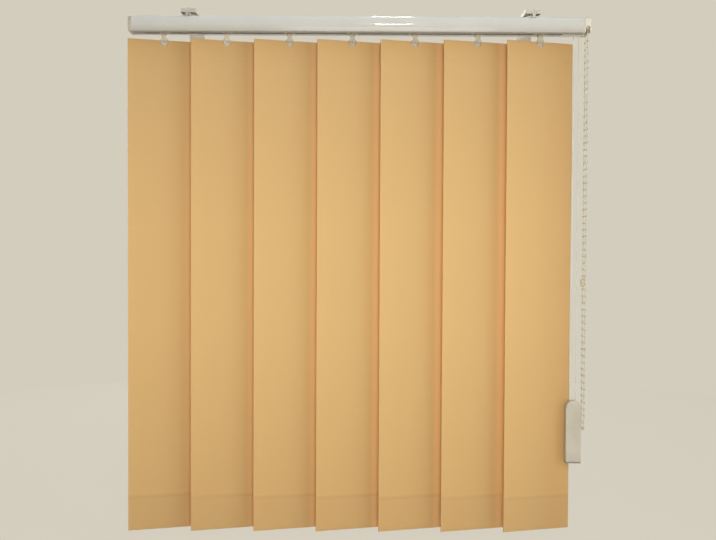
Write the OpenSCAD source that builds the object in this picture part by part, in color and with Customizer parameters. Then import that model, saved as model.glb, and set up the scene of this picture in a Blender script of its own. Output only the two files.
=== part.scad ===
// Vertical blind: seven fabric vanes on a short head rail with two wall brackets.
// Frame: X along the rail, +Y toward the wall, +Z up, millimetres.
// The origin is on the wall face, at the centre of the bracket screw holes.

/* [Vanes] */
// width of one vane
vane_w = 127; // [89:1:127]
// finished length of one vane
vane_l = 885; // [400:5:1500]
// distance from one vane stem to the next
vane_pitch = 113; // [104:0.5:120]
// angle of the closed vanes to the rail
vane_tilt = 13; // [12:0.5:20]
// thickness of the vane fabric
fabric_t = 0.5; // [0.4:0.05:0.8]
// height of the bottom pocket
hem_h = 60; // [40:1:80]
// height of the top pocket
top_hem_h = 36; // [30:1:50]
// gap from the underside of the rail to the top of the vanes
vane_drop = 13; // [12:0.5:20]

/* [Head rail] */
// length of the aluminium rail
rail_l = 772; // [500:1:1200]
// depth of the rail from front to back
rail_d = 36; // [34:0.5:44]
// height of the rail
rail_h = 26.5; // [26:0.5:32]
// wall of the rail
rail_t = 1.3; // [1:0.1:2]
// bulge of the rail's front and back
rail_bow = 1.6; // [0.5:0.1:2.5]
// width of the slot under the rail
slot_w = 12; // [10:0.5:14]
// length of the end cap beyond the rail
cap_l = 6; // [3:0.5:10]
// length of the control housing beyond the rail
housing_l = 47.5; // [45:0.5:60]

/* [Brackets] */
// distance of the stems from the wall
wall_gap = 75; // [72:1:110]
// distance between the two brackets
bracket_span = 618; // [300:1:700]
// width of a bracket
bracket_w = 28; // [24:0.5:36]
// steel thickness of a bracket
bracket_t = 2; // [1.5:0.1:3]
// height of the wall leg
leg_h = 76; // [60:1:100]
// height of the turned-down edges of the arm
flange_h = 7; // [4:0.5:9]
// distance between the two screw holes of a leg
hole_pitch = 36; // [20:1:50]
// diameter of the screw holes
hole_d = 5.2; // [4:0.1:7]
// height of the clip between rail and arm
clip_h = 12; // [10:0.5:20]

/* [Controls] */
// diameter of the chain beads
bead_d = 4.5; // [4:0.1:5]
// distance between beads
bead_pitch = 12; // [10:0.5:14]
// beads that go once round the wheel
wheel_beads = 4; // [4:2:6]
// bead spacings in each hanging strand
strand_beads = 60; // [20:1:90]
// diameter of the cord
cord_d = 1.8; // [1.4:0.1:2.2]
// width of the cord weight
weight_w = 27; // [22:0.5:28]
// height of the cord weight
weight_h = 114; // [60:1:140]
// thickness of the cord weight
weight_t = 13; // [10:0.5:13]
// drop from the underside of the rail to the top of the weight
weight_drop = 660; // [300:5:1000]

/* [Hidden] */
$fn = 48;
eps = 0.01;
run_gap = 0.06;
play = 0.3;
// the seven vanes each have nodes of their own
vane_count = 7;

// levels and depths
arm_top_z = (leg_h + bracket_t) / 2;
arm_z = arm_top_z - bracket_t;
lip_h = 2.4;
lip_w = 9.8;
tab_in = 7;
rail_z = arm_z - clip_h - lip_h - rail_h;
pivot_y = -wall_gap;
roof = rail_h - rail_t;
half_d = rail_d / 2;
in_d = half_d - rail_t;

// places along the rail
rail_x0 = -rail_l / 2 - 23;
rail_x1 = rail_x0 + rail_l;
cap_x = rail_x0 - cap_l;
house_x1 = rail_x1 + housing_l;
stem_x0 = -15 - vane_pitch * (vane_count - 1) / 2;

// carrier and worm drive
car_l = 20;
car_w = 12.5;
car_z0 = rail_t + 1;
car_z1 = roof - 0.5;
wheel_r = 4.4;
gear_teeth = 9;
worm_lead = PI;
gear_r = gear_teeth * worm_lead / (2 * PI);
worm_r = 3.5;
worm_e = 0.75;
worm_len = 3 * worm_lead;
rod_r = 2;
rod_u = -(gear_r + worm_r);
drive_z = 15.5;
gear_h = 1.8;
tooth_half = 0.26;
tooth_top = 0.65;
gear_tip = 1;
// turn of the gear that sets a tooth in the worm's groove
gear_turn = 20;
stem_r = 2.4;
journal_r = 3;
end_wall = 2.2;
key_w = 1.2;
key_h = 0.6;

// spacer strips run at staggered heights through the carriers' windows
strip_w = 8;
strip_t = 0.3;
strip_step = 0.5;
strip_z = car_z1 - 1.4 - vane_count * strip_step;
strip_over = 4;
head_w = 1.2;

// vane holders
pocket_in = 1.3;
plate_t = 1.2;
pocket_half = pocket_in / 2 + fabric_t;
fork_gap = 2 * pocket_half + 2 * play;
leaf_t = 1.2;
leaf_w = 14.5;
leaf_h = 12.5;
peg_r = 1.5;
peg_drop = 6;
notch_r = 5;
vane_top = -vane_drop;
fork_z = vane_top + play;
bridge_h = 2.2;
shoulder_in = 1.5;
shoulder_w = leaf_w - 2 * shoulder_in;
neck_w = 9.6;
neck_z = -0.9;
waist_w = 8.4;
waist_z = -7.5;
hanger_in = 10;
hanger_foot = 14;
hanger_step = 2;
hanger_ear = 3;

// chain wheel and chain loop
wheel_r0 = wheel_beads * bead_pitch / (2 * PI);
thread_r = 0.6;
chain_x = house_x1 - 5.4;
strand_l = strand_beads * bead_pitch;
groove_w = bead_d + 0.8;
flange_t = 0.9;
wheel_flange = wheel_r0 + 1.4;
wheel_x0 = chain_x - groove_w / 2 - flange_t;
wheel_x1 = chain_x + groove_w / 2 + flange_t;
cover_t = 1.6;
cover_x = house_x1 - cover_t;
mid_wall = 1.6;
mid_x = wheel_x0 - 0.4 - mid_wall;
front_u = rod_u - wheel_r0 - bead_d / 2 - 0.4;
house_t = 1.5;
house_top = drive_z + wheel_r0 + bead_d / 2 + 0.5 + house_t;
arch_r = groove_w / 2 + flange_t;
arch_z = 8;
joiner_l = 15;
joiner_r = 3.8;
joiner_bead = 39;

// cord run
cord_r = cord_d / 2;
cord_u = 9.2;
cord_low = 11;
cord_high = 20;
cord_mid = (cord_low + cord_high) / 2;
turn_r = (cord_high - cord_low) / 2;
low_r = 4;
hang_u = -2;
hang_gap = 10.55;
hang_x = mid_x - hang_gap;
strand_a = hang_x - turn_r;
strand_b = hang_x + turn_r;
low_x = strand_a - low_r;
low_z = cord_low - low_r;
idle_x = rail_x0 + 9;
cord_gap = 0.35;
pulley_h = 4.4;
pin_r = 1.4;
weight_z = -weight_drop;
cord_in = 10;
cord_sides = 8;

// points of an arc, from angle a0 to a1
function arc(cx, cy, r, a0, a1, n) =
    [for (i = [0 : n]) let (a = a0 + (a1 - a0) * i / n) [cx + r * cos(a), cy + r * sin(a)]];
// half of the rail's outline, from the middle of the top round the back to the middle of the bottom
bow_r = (pow(rail_h / 2 - 3, 2) + pow(rail_bow, 2)) / (2 * rail_bow);
bow_a = asin((rail_h / 2 - 3) / bow_r);
function side_points(d, r) = concat(
    arc(d - rail_bow - r, rail_h - r, r, 90, 20, 9),
    arc(d - bow_r, rail_h / 2, bow_r, bow_a, -bow_a, 20),
    arc(d - rail_bow - r, r, r, -20, -90, 9));
function mirrored(p) = [for (i = [len(p) - 1 : -1 : 0]) [-p[i][0], p[i][1]]];

// frames used by the nodes
module at_rail() {
    translate([0, pivot_y, rail_z])
        children();
}
module at_stem(n) {
    translate([stem_x0 + (n - 1) * vane_pitch, pivot_y, rail_z])
        children();
}
module at_vane(n) {
    at_stem(n)
        rotate([0, 0, vane_tilt])
            children();
}
// a profile drawn in depth and height, run along X
module along_x(x0, x1) {
    translate([x0, 0, 0])
        rotate([90, 0, 90])
            linear_extrude(x1 - x0)
                children();
}
// a round bar along Y
module bar_y(x, z, r, y0, y1) {
    translate([x, y0, z])
        rotate([-90, 0, 0])
            cylinder(r = r, h = y1 - y0);
}
// a round bar along X
module bar_x(y, z, r, x0, x1) {
    translate([x0, y, z])
        rotate([0, 90, 0])
            cylinder(r = r, h = x1 - x0);
}
module box(a, b) {
    translate(a)
        cube(b - a);
}

// rail outline, solid
module rail_outline() {
    polygon(concat(side_points(half_d, 3), mirrored(side_points(half_d, 3))));
}
// space inside the rail, shrunk from its outline by a gap
module rail_space(g) {
    square_h = roof - rail_t - 2 * g;
    translate([-(in_d - rail_bow - g), rail_t + g])
        square([2 * (in_d - rail_bow - g), square_h]);
}

// head rail: extruded channel with a slot below and two hooked lips above
module head_rail() {
    color([0.93, 0.92, 0.9])
        at_rail() {
            along_x(rail_x0, rail_x1)
                difference() {
                    rail_outline();
                    rail_space(0);
                    translate([-slot_w / 2, -1])
                        square([slot_w, rail_t + 2]);
                }
            for (s = [-1, 1]) {
                box([rail_x0, s > 0 ? lip_w - 1.4 : -lip_w, rail_h - 0.6],
                    [rail_x1, s > 0 ? lip_w : -lip_w + 1.4, rail_h + lip_h]);
                box([rail_x0, s > 0 ? tab_in : -lip_w, rail_h + lip_h - 1.1],
                    [rail_x1, s > 0 ? lip_w : -tab_in, rail_h + lip_h]);
            }
        }
}

// idle end cap: closes the left end and carries the return pulley's pin
module idle_end_cap() {
    color([0.94, 0.92, 0.86])
        at_rail() {
            along_x(cap_x + 1.5, rail_x0)
                rail_outline();
            translate([cap_x, 0, rail_h / 2])
                along_x(0, 1.5)
                    scale([0.96, 0.94])
                        translate([0, -rail_h / 2])
                            rail_outline();
            difference() {
                along_x(rail_x0 - eps, rail_x0 + 18)
                    rail_space(0.15);
                box([rail_x0 + 1.4, -in_d, rail_t + 1.4], [rail_x0 + 19, in_d, roof - 1.6]);
                box([rail_x0 + 1.4, -slot_w / 2, 0], [rail_x0 + 19, slot_w / 2, rail_h]);
            }
            for (s = [-1, 1])
                box([rail_x0 - eps, cord_u + s * (pulley_h / 2 + 0.9) - 0.7, rail_t + 0.6],
                    [rail_x0 + 16, cord_u + s * (pulley_h / 2 + 0.9) + 0.7, roof - 0.6]);
            bar_y(idle_x, cord_mid, pin_r, cord_u - pulley_h / 2 - 1.2, cord_u + pulley_h / 2 + 1.2);
            // bearing of the tilt rod
            difference() {
                bar_x(rod_u, drive_z, rod_r + 2, rail_x0 - eps, rail_x0 + 14);
                bar_x(rod_u, drive_z, rod_r + run_gap, rail_x0 + 2, rail_x0 + 15);
            }
        }
}

// outline of the wheel chamber at the control end
module chamber_outline(g) {
    x = front_u - house_t + g;
    w = half_d - g - x;
    z = rail_t - 0.8 + g;
    translate([x + 4 - g, z + 4 - g])
        circle(4 - g);
    translate([x + 7 - g, house_top - 7])
        circle(7 - g);
    translate([x, z + 4 - g])
        square([w, house_top - 11 - z + g]);
    translate([x + 4 - g, z])
        square([w - 4 + g, 6]);
    translate([x + 7 - g, house_top - 8])
        square([w - 7 + g, 8 - g]);
}

// control housing: two chambers, one for the cord pulleys and one for the chain wheel
module control_housing() {
    color([0.92, 0.91, 0.89])
        at_rail() {
            difference() {
                union() {
                    along_x(rail_x1, mid_x + mid_wall)
                        rail_outline();
                    along_x(mid_x, cover_x)
                        chamber_outline(0);
                    along_x(rail_x1 - 10, rail_x1 + eps)
                        rail_space(0.15);
                }
                along_x(rail_x1 - 11, mid_x)
                    rail_space(1.2);
                along_x(mid_x + mid_wall, cover_x + 1)
                    chamber_outline(house_t);
                bar_x(rod_u, drive_z, rod_r + 1.2 + run_gap, mid_x - 1, cover_x);
                // way out for the two cord strands
                box([low_x - low_r - 2.2, hang_u - 3, -1], [strand_b + 3, hang_u + 3, rail_t + 3]);
                // slot of the rail carried into the plug
                box([rail_x1 - 11, -slot_w / 2, -1], [rail_x1 - eps, slot_w / 2, rail_t + 3]);
                // way out for the chain: arch in the front and slot below
                box([chain_x - arch_r, front_u - house_t - 1, -2],
                    [chain_x + arch_r, rod_u, arch_z]);
                bar_y(chain_x, arch_z, arch_r, front_u - house_t - 1, rod_u - wheel_r0 + 2);
                box([chain_x - arch_r, rod_u - 1, -2],
                    [chain_x + arch_r, rod_u + wheel_r0 + bead_d, 6]);
            }
            // bearing sleeve of the rod
            difference() {
                bar_x(rod_u, drive_z, rod_r + 2.6, mid_x - 4, mid_x + eps);
                bar_x(rod_u, drive_z, rod_r + 1.2 + run_gap, mid_x - 5, mid_x + 1);
            }
            // posts of the two cord pulleys, standing on the back wall
            for (p = [[hang_x, cord_mid], [low_x, low_z]]) {
                bar_y(p[0], p[1], pin_r, hang_u - pulley_h / 2 - 0.8, in_d - rail_bow);
                bar_y(p[0], p[1], pin_r + 1.2, hang_u + pulley_h / 2 + 0.4, in_d - rail_bow);
            }
        }
}

// cover: closes the wheel chamber and bears the wheel's outer end
module control_cover() {
    color([0.93, 0.92, 0.9])
        at_rail() {
            along_x(cover_x, house_x1)
                chamber_outline(0.4);
            bar_x(rod_u, drive_z, 2.2, wheel_x1 - 2, cover_x + eps);
        }
}

// pressed steel bracket with a slotted arm, turned-down edges and a drilled wall leg
module bracket(x) {
    arm_y = pivot_y - 8;
    translate([x, 0, 0])
        difference() {
            union() {
                box([-bracket_w / 2, arm_y, arm_z], [bracket_w / 2, 0, arm_top_z]);
                box([-bracket_w / 2, -bracket_t, arm_top_z - leg_h], [bracket_w / 2, 0, arm_top_z]);
                for (s = [-1, 1])
                    translate([s * (bracket_w - 1.6) / 2 - 0.8, 0, 0])
                        box([0, arm_y, arm_top_z - flange_h], [1.6, 0, arm_top_z]);
                box([-bracket_w / 2, arm_y, arm_top_z - flange_h],
                    [bracket_w / 2, arm_y + 1.6, arm_top_z]);
                for (s = [-1, 1])
                    translate([s * (bracket_w - 1.6) / 2 - 0.8, 0, 0])
                        rotate([90, 0, 90])
                            linear_extrude(1.6)
                                polygon([[-bracket_t + eps, arm_top_z - 30], [-bracket_t + eps, arm_z],
                                    [-26, arm_z], [-26, arm_top_z - flange_h]]);
            }
            for (z = [-hole_pitch / 2, hole_pitch / 2])
                bar_y(0, z, hole_d / 2, -bracket_t - 1, 1);
            // adjusting slot over the clip
            box([-2.3, pivot_y - 2, arm_z - 1], [2.3, pivot_y + 26, arm_top_z + 1]);
            for (y = [pivot_y - 2, pivot_y + 26])
                translate([0, y, arm_z - 1])
                    cylinder(r = 2.3, h = bracket_t + 2);
        }
}
module bracket_left() {
    color([0.74, 0.74, 0.73])
        bracket(-bracket_span / 2);
}
module bracket_right() {
    color([0.74, 0.74, 0.73])
        bracket(bracket_span / 2);
}

// spring clip: hooks under the rail's lips and is screwed up against the arm
module clip(x) {
    translate([x, pivot_y, rail_z + rail_h + lip_h])
        difference() {
            union() {
                box([-10, -lip_w - 1, 0], [10, lip_w + 1, 1.4]);
                box([-9, -tab_in + 0.3, -lip_h + 0.2], [9, tab_in - 0.3, eps]);
                box([-9, -tab_in - 1, -lip_h + 0.2], [9, tab_in + 1, -1.25]);
                translate([0, 0, 1])
                    cylinder(r = 6, h = clip_h - 1);
                box([-2.5, -lip_w - 9, 3], [2.5, 0, 4.4]);
                box([-2.5, -lip_w - 9, -2], [2.5, -lip_w - 7.6, 4.4]);
            }
            translate([0, 0, -lip_h - 1])
                cylinder(r = 2 + run_gap, h = clip_h + lip_h + 2);
        }
}
module clip_left() {
    color([0.8, 0.8, 0.79])
        clip(-bracket_span / 2);
}
module clip_right() {
    color([0.8, 0.8, 0.79])
        clip(bracket_span / 2);
}

// one screw for each clip, with a washer head above the arm
module bracket_screws() {
    color([0.7, 0.69, 0.66])
        for (x = [-bracket_span / 2, bracket_span / 2])
            translate([x, pivot_y, arm_top_z])
                difference() {
                    union() {
                        cylinder(r = 4, h = 2.2);
                        translate([0, 0, -bracket_t - clip_h + 1])
                            cylinder(r = 2, h = bracket_t + clip_h);
                    }
                    for (a = [0, 90])
                        rotate([0, 0, a])
                            translate([-2.4, -0.5, 1])
                                cube([4.8, 1, 2]);
                }
}

// tilt rod: drawn bar with one key groove, reaching from the last carrier side to the wheel
module tilt_rod() {
    color([0.78, 0.79, 0.8])
        at_rail()
            difference() {
                bar_x(rod_u, drive_z, rod_r, rail_x0 + 2.5, wheel_x0 + 3);
                box([rail_x0 + 20, rod_u - key_w / 2 - run_gap, drive_z + rod_r - key_h - run_gap],
                    [wheel_x0 + 4, rod_u + key_w / 2 + run_gap, drive_z + rod_r + 1]);
            }
}

// chain wheel: grooved wheel and sleeve, pressed on the rod
module chain_wheel() {
    w = groove_w / 2;
    floor_r = wheel_r0 - bead_d / 2 - 0.4;
    color([0.9, 0.89, 0.86])
        at_rail()
            translate([chain_x, rod_u, drive_z])
                rotate([0, 90, 0])
                    difference() {
                        union() {
                            rotate_extrude()
                                polygon([[0, -w - flange_t], [wheel_flange, -w - flange_t],
                                    [wheel_flange, -w - 0.1], [floor_r, -w + 0.5], [floor_r, w - 0.5],
                                    [wheel_flange, w + 0.1], [wheel_flange, w + flange_t],
                                    [0, w + flange_t]]);
                            translate([0, 0, mid_x - 4 - chain_x])
                                cylinder(r = rod_r + 1.2, h = chain_x - mid_x + 4);
                        }
                        translate([0, 0, mid_x - 5 - chain_x])
                            cylinder(r = rod_r, h = wheel_x0 + 3 - mid_x + 5);
                        translate([0, 0, wheel_x1 - 2.6 - chain_x])
                            cylinder(r = 2.2 + run_gap, h = 4);
                        // ribs left between six hollows in each flange
                        for (a = [0 : 360 / wheel_beads : 359])
                            rotate([0, 0, a])
                                translate([wheel_flange + 0.6, 0, -w - flange_t - 1])
                                    cylinder(r = 2.4, h = 2 * w + 2 * flange_t + 2);
                    }
}

// grooved cord pulley turning on a pin
module cord_pulley(r) {
    rotate([-90, 0, 0])
        difference() {
            rotate_extrude()
                polygon([[0, -pulley_h / 2], [r + 1.3, -pulley_h / 2], [r - cord_r - cord_gap, -0.7],
                    [r - cord_r - cord_gap, 0.7], [r + 1.3, pulley_h / 2], [0, pulley_h / 2]]);
            translate([0, 0, -pulley_h])
                cylinder(r = pin_r + run_gap, h = 2 * pulley_h);
        }
}
module idle_pulley() {
    color([0.85, 0.85, 0.83])
        at_rail()
            translate([idle_x, cord_u, cord_mid])
                cord_pulley(turn_r);
}
module cord_pulley_high() {
    color([0.85, 0.85, 0.83])
        at_rail()
            translate([hang_x, hang_u, cord_mid])
                cord_pulley(turn_r);
}
module cord_pulley_low() {
    color([0.85, 0.85, 0.83])
        at_rail()
            translate([low_x, hang_u, low_z])
                cord_pulley(low_r);
}

// the cord's route: up from the weight, along the rail, round the idle pulley and back
cord_end_z = weight_z - cord_in;
fleet_x = rail_x1 - 12;
function turn(x, y, z, r, a0, a1, n) =
    [for (i = [0 : n]) let (a = a0 + (a1 - a0) * i / n) [x + r * cos(a), y, z + r * sin(a)]];
route = concat(
    [[strand_a, hang_u, cord_end_z], [strand_a, hang_u, weight_z], [strand_a, hang_u, -20]],
    turn(low_x, hang_u, low_z, low_r, 0, 90, 6),
    [[low_x - 4, hang_u + 1, cord_low], [fleet_x + 6, cord_u - 1, cord_low],
        [fleet_x - 6, cord_u, cord_low], [0, cord_u, cord_low]],
    turn(idle_x, cord_u, cord_mid, turn_r, 270, 90, 12),
    [[0, cord_u, cord_high], [fleet_x - 6, cord_u, cord_high], [fleet_x + 6, cord_u - 1, cord_high],
        [hang_x - 6, hang_u + 1, cord_high]],
    turn(hang_x, hang_u, cord_mid, turn_r, 90, 0, 6),
    [[strand_b, hang_u, -20], [strand_b, hang_u, weight_z], [strand_b, hang_u, cord_end_z]]);
function unit(v) = v / norm(v);
function along(p, i) = unit(p[min(i + 1, len(p) - 1)] - p[max(i - 1, 0)]);
// the ring's side direction lies nearest the rail's depth, square to the route
function side(t) = unit([0, 1, 0] - t * t[1]);
function ring(p, i, r, n) =
    let (t = along(p, i), s = side(t), c = cross(t, s))
    [for (k = [0 : n - 1]) let (a = 360 * (k + 0.5) / n) p[i] + r * cos(a) * s + r * sin(a) * c];
module skin(points, m, n) {
    sides = [for (i = [0 : m - 2]) for (k = [0 : n - 1])
        let (a = i * n + k, b = i * n + (k + 1) % n) each [[a, a + n, b], [b, a + n, b + n]]];
    first = [for (k = [0 : n - 1]) k];
    last = [for (k = [n - 1 : -1 : 0]) (m - 1) * n + k];
    polyhedron(points, concat(sides, [first], [last]), convexity = 8);
}
module sweep(p, r, n) {
    skin([for (i = [0 : len(p) - 1]) for (q = ring(p, i, r, n)) q], len(p), n);
}
module traverse_cord() {
    color([0.95, 0.94, 0.9])
        at_rail()
            sweep(route, cord_r, cord_sides);
}

// one hanging strand of the chain as a turned profile: beads on a thread
module strand(y) {
    translate([chain_x, y, drive_z - strand_l])
        rotate_extrude($fn = 24)
            polygon(concat([[0, 0], [thread_r, 0]],
                [for (i = [0 : strand_beads - 1]) for (a = [-72 : 24 : 72])
                    [bead_d / 2 * cos(a), (i + 0.5) * bead_pitch + bead_d / 2 * sin(a)]],
                [[thread_r, strand_l], [0, strand_l]]));
}
// half a turn of chain: a thread that swells into a bead at each spacing
loop_beads = wheel_beads / 2;
loop_steps = 8;
loop_n = loop_beads * loop_steps;
function loop_swell(i) =
    let (d = abs(i % loop_steps - loop_steps / 2) * bead_pitch / loop_steps)
    i == 0 || i == loop_n ? 0.75 * thread_r
    : d < bead_d / 2 ? max(thread_r, sqrt(pow(bead_d / 2, 2) - d * d)) : thread_r;
// ring of the loop at angle a, square to the loop, on the strands' own axes at both ends
function loop_ring(a, z, up, r, n) =
    let (c = [chain_x, rod_u + wheel_r0 * cos(a), z + up * wheel_r0 * sin(a)], d = [0, up * cos(a), sin(a)])
    [for (k = [0 : n - 1]) let (b = 360 * (k + 0.5) / n) c + [r * cos(b), 0, 0] + r * sin(b) * d];
module half_loop(z, up) {
    skin([for (i = [0 : loop_n]) for (q = loop_ring(180 * i / loop_n, z, up, loop_swell(i), cord_sides)) q],
        loop_n + 1, cord_sides);
}
module bead_chain() {
    color([0.95, 0.92, 0.82])
        at_rail() {
            strand(rod_u - wheel_r0);
            strand(rod_u + wheel_r0);
            half_loop(drive_z, 1);
            half_loop(drive_z - strand_l, -1);
        }
}

// joiner: hollow barrel that closes the chain round one bead
module chain_joiner() {
    z = drive_z - strand_l + (strand_beads - joiner_bead + 0.5) * bead_pitch;
    color([0.94, 0.91, 0.82])
        at_rail()
            translate([chain_x, rod_u + wheel_r0, z - joiner_l / 2])
                rotate_extrude()
                    polygon([[thread_r + 0.3, 0], [joiner_r - 1.2, 0], [joiner_r, 2],
                        [joiner_r, joiner_l - 2], [joiner_r - 1.2, joiner_l], [thread_r + 0.3, joiner_l],
                        [thread_r + 0.3, joiner_l - 1.4], [bead_d / 2 + 0.3, joiner_l - 2.6],
                        [bead_d / 2 + 0.3, 2.6], [thread_r + 0.3, 1.4]]);
}

// cord weight: moulded flat case with a round top and a dark foot line
module cord_weight() {
    color([0.93, 0.92, 0.9])
        at_rail()
            translate([hang_x, hang_u, weight_z])
                difference() {
                    rotate([90, 0, 0])
                        translate([0, 0, -weight_t / 2])
                            linear_extrude(weight_t) {
                                translate([0, -weight_w / 2])
                                    circle(weight_w / 2);
                                translate([-weight_w / 2, -weight_h + 3])
                                    square([weight_w, weight_h - 3 - weight_w / 2]);
                                translate([-weight_w / 2 + 3, -weight_h])
                                    square([weight_w - 6, 10]);
                                for (s = [-1, 1])
                                    translate([s * (weight_w / 2 - 3), -weight_h + 3])
                                        circle(3);
                            }
                    for (s = [-1, 1])
                        translate([s * turn_r, 0, -cord_in])
                            cylinder(r = cord_r + cord_gap, h = cord_in + 1);
                    // shallow groove above the foot
                    difference() {
                        box([-weight_w, -weight_t, -weight_h + 7], [weight_w, weight_t, -weight_h + 8]);
                        box([-weight_w / 2 + 0.6, -weight_t / 2 + 0.6, -weight_h + 6],
                            [weight_w / 2 - 0.6, weight_t / 2 - 0.6, -weight_h + 9]);
                    }
                }
}

// spacer strip of a carrier, reaching to the carrier on its left
module strip(n) {
    if (n > 1) {
        z = strip_z + n * strip_step;
        x = -vane_pitch - car_l / 2 - strip_over;
        box([x, -strip_w / 2, z], [0, strip_w / 2, z + strip_t]);
        box([x, -strip_w / 2 - head_w, z], [x + 2, strip_w / 2 + head_w, z + strip_t]);
    }
}
// carrier: moulded truck with four runner wheels, a window for the strips, a worm cradle and a cord passage
module carrier(n) {
    x = car_l / 2;
    worm_half = worm_len / 2 + 0.5;
    win_z0 = strip_z + strip_step - 0.5;
    win_z1 = strip_z + vane_count * strip_step + strip_t + 0.4;
    color([0.88, 0.88, 0.86])
        at_stem(n) {
            difference() {
                union() {
                    box([-x, -car_w, car_z0], [x, car_w, car_z1]);
                    for (sx = [-1, 1]) {
                        bar_y(sx * (wheel_r + 0.3), rail_t + play + wheel_r, wheel_r,
                            car_w - 1, in_d - rail_bow - play);
                        bar_y(sx * (wheel_r + 0.3), rail_t + play + wheel_r, wheel_r,
                            -in_d + rail_bow + play, -car_w + 1);
                    }
                }
                // gear room and stem bore
                translate([0, 0, drive_z - gear_h / 2 - run_gap])
                    cylinder(r = gear_r + gear_tip + 0.5, h = gear_h + 0.5);
                translate([0, 0, 0])
                    cylinder(r = stem_r + run_gap, h = drive_z);
                // worm cradle, open to the front
                box([-worm_half, -car_w - 1, drive_z - worm_r - worm_e - 0.5],
                    [worm_half, rod_u + 0.5, drive_z + worm_r + worm_e + 0.5]);
                bar_x(rod_u, drive_z, worm_r + worm_e + 0.5, -worm_half, worm_half);
                bar_x(rod_u, drive_z, journal_r + run_gap, -x - 1, x + 1);
                // window of the spacer strips
                box([-x - 1, -strip_w / 2 - head_w - 0.4, win_z0],
                    [x + 1, strip_w / 2 + head_w + 0.4, win_z1]);
                // cord passage
                for (z = [cord_low, cord_high])
                    bar_x(cord_u, z, cord_r + 0.5, -x - 1, x + 1);
            }
            difference() {
                strip(n);
                box([-x + eps, -strip_w, win_z0], [x, strip_w, win_z1]);
            }
            // foot that clamps the strip in its own carrier
            if (n > 1)
                box([-x, -strip_w / 2 - head_w - 0.8, strip_z + n * strip_step],
                    [x, strip_w / 2 + head_w + 0.8, strip_z + n * strip_step + strip_t]);
            // two ribs that stop the head of the next carrier's strip
            if (n < vane_count)
                for (s = [-1, 1])
                    translate([-x, s * (strip_w / 2 + 0.7 + head_w / 2),
                        strip_z + (n + 1) * strip_step - 0.05])
                        translate([0, -head_w / 2 - 0.3, 0])
                            cube([3, head_w + 0.6, strip_t + 0.1]);
        }
}

// worm: one-start thread between two journals, keyed to the rod
module worm(n) {
    x = car_l / 2 + 0.4;
    color([0.82, 0.82, 0.8])
        at_stem(n)
            translate([0, rod_u, drive_z])
                rotate([0, 90, 0])
                    difference() {
                        union() {
                            translate([0, 0, -worm_len / 2])
                                linear_extrude(worm_len, twist = 3 * 360, slices = 30, $fn = 8)
                                    translate([worm_e, 0])
                                        circle(worm_r, $fn = 8);
                            translate([0, 0, -x])
                                cylinder(r = journal_r, h = x - worm_len / 2 + 0.3);
                            translate([0, 0, worm_len / 2 - 0.3])
                                cylinder(r = journal_r, h = x - worm_len / 2 + 0.3);
                        }
                        difference() {
                            translate([0, 0, -x - 1])
                                cylinder(r = rod_r + run_gap, h = 2 * x + 2);
                            translate([-rod_r - 1, -key_w / 2, -x - 2])
                                cube([key_h + 1 - run_gap, key_w, 2 * x + 4]);
                        }
                    }
}

// hook: gear wheel, stem, flat neck and a clear fork with a peg
module hook(n) {
    z0 = drive_z - gear_h / 2;
    color([0.87, 0.86, 0.8, 0.6])
        at_vane(n) {
            translate([0, 0, z0])
                linear_extrude(gear_h)
                    rotate(gear_turn - vane_tilt) {
                        circle(gear_r - gear_tip - 0.25);
                        for (i = [0 : gear_teeth - 1])
                            rotate(i * 360 / gear_teeth)
                                polygon([[0, -0.6], [gear_r - gear_tip, -0.5], [gear_r, -tooth_half],
                                    [gear_r + tooth_top, -tooth_half / 2],
                                    [gear_r + tooth_top, tooth_half / 2],
                                    [gear_r, tooth_half], [gear_r - gear_tip, 0.5], [0, 0.6]]);
                    }
            translate([0, 0, fork_z - eps])
                cylinder(r = stem_r, h = z0 - fork_z + 2 * eps);
            rotate([90, 0, 0]) {
                translate([0, 0, -fork_gap / 2 - leaf_t])
                    linear_extrude(fork_gap + 2 * leaf_t)
                        neck();
                translate([0, 0, fork_gap / 2])
                    leaf(leaf_w);
                translate([0, 0, -fork_gap / 2 - leaf_t])
                    leaf(9);
            }
            translate([0, 0, vane_top - peg_drop])
                bar_y(0, 0, peg_r, -fork_gap / 2 - eps, fork_gap / 2 - 0.1);
        }
}
// flat neck below the rail: waisted, and flared to the width of the fork's shoulders
module neck() {
    polygon([[-neck_w / 2, neck_z], [-waist_w / 2, waist_z], [-shoulder_w / 2, fork_z + bridge_h],
        [-shoulder_w / 2, fork_z], [shoulder_w / 2, fork_z], [shoulder_w / 2, fork_z + bridge_h],
        [waist_w / 2, waist_z], [neck_w / 2, neck_z]]);
}
module leaf(w) {
    linear_extrude(leaf_t) {
        translate([0, fork_z + bridge_h - leaf_h + w / 2])
            circle(w / 2);
        translate([-w / 2, fork_z + bridge_h - leaf_h + w / 2])
            square([w, leaf_h - w / 2 - shoulder_in]);
        translate([-w / 2 + shoulder_in, fork_z - 2])
            square([w - 2 * shoulder_in, bridge_h + 2]);
    }
}

// hanger: clear stiffener in the top pocket, hung on the hook's peg
module hanger(n) {
    w = vane_w - 2 * hanger_in;
    color([0.9, 0.9, 0.88, 0.6])
        at_vane(n)
            translate([0, plate_t / 2, vane_top - fabric_t])
                rotate([90, 0, 0])
                    linear_extrude(plate_t)
                        difference() {
                            union() {
                                translate([-w / 2, -top_hem_h + hanger_foot])
                                    square([w, top_hem_h - hanger_foot - hanger_step]);
                                translate([-w / 2 + hanger_ear, -top_hem_h + hanger_foot])
                                    square([w - 2 * hanger_ear, top_hem_h - hanger_foot]);
                            }
                            translate([0, -peg_drop + fabric_t])
                                circle(peg_r + run_gap);
                        }
}

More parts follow.
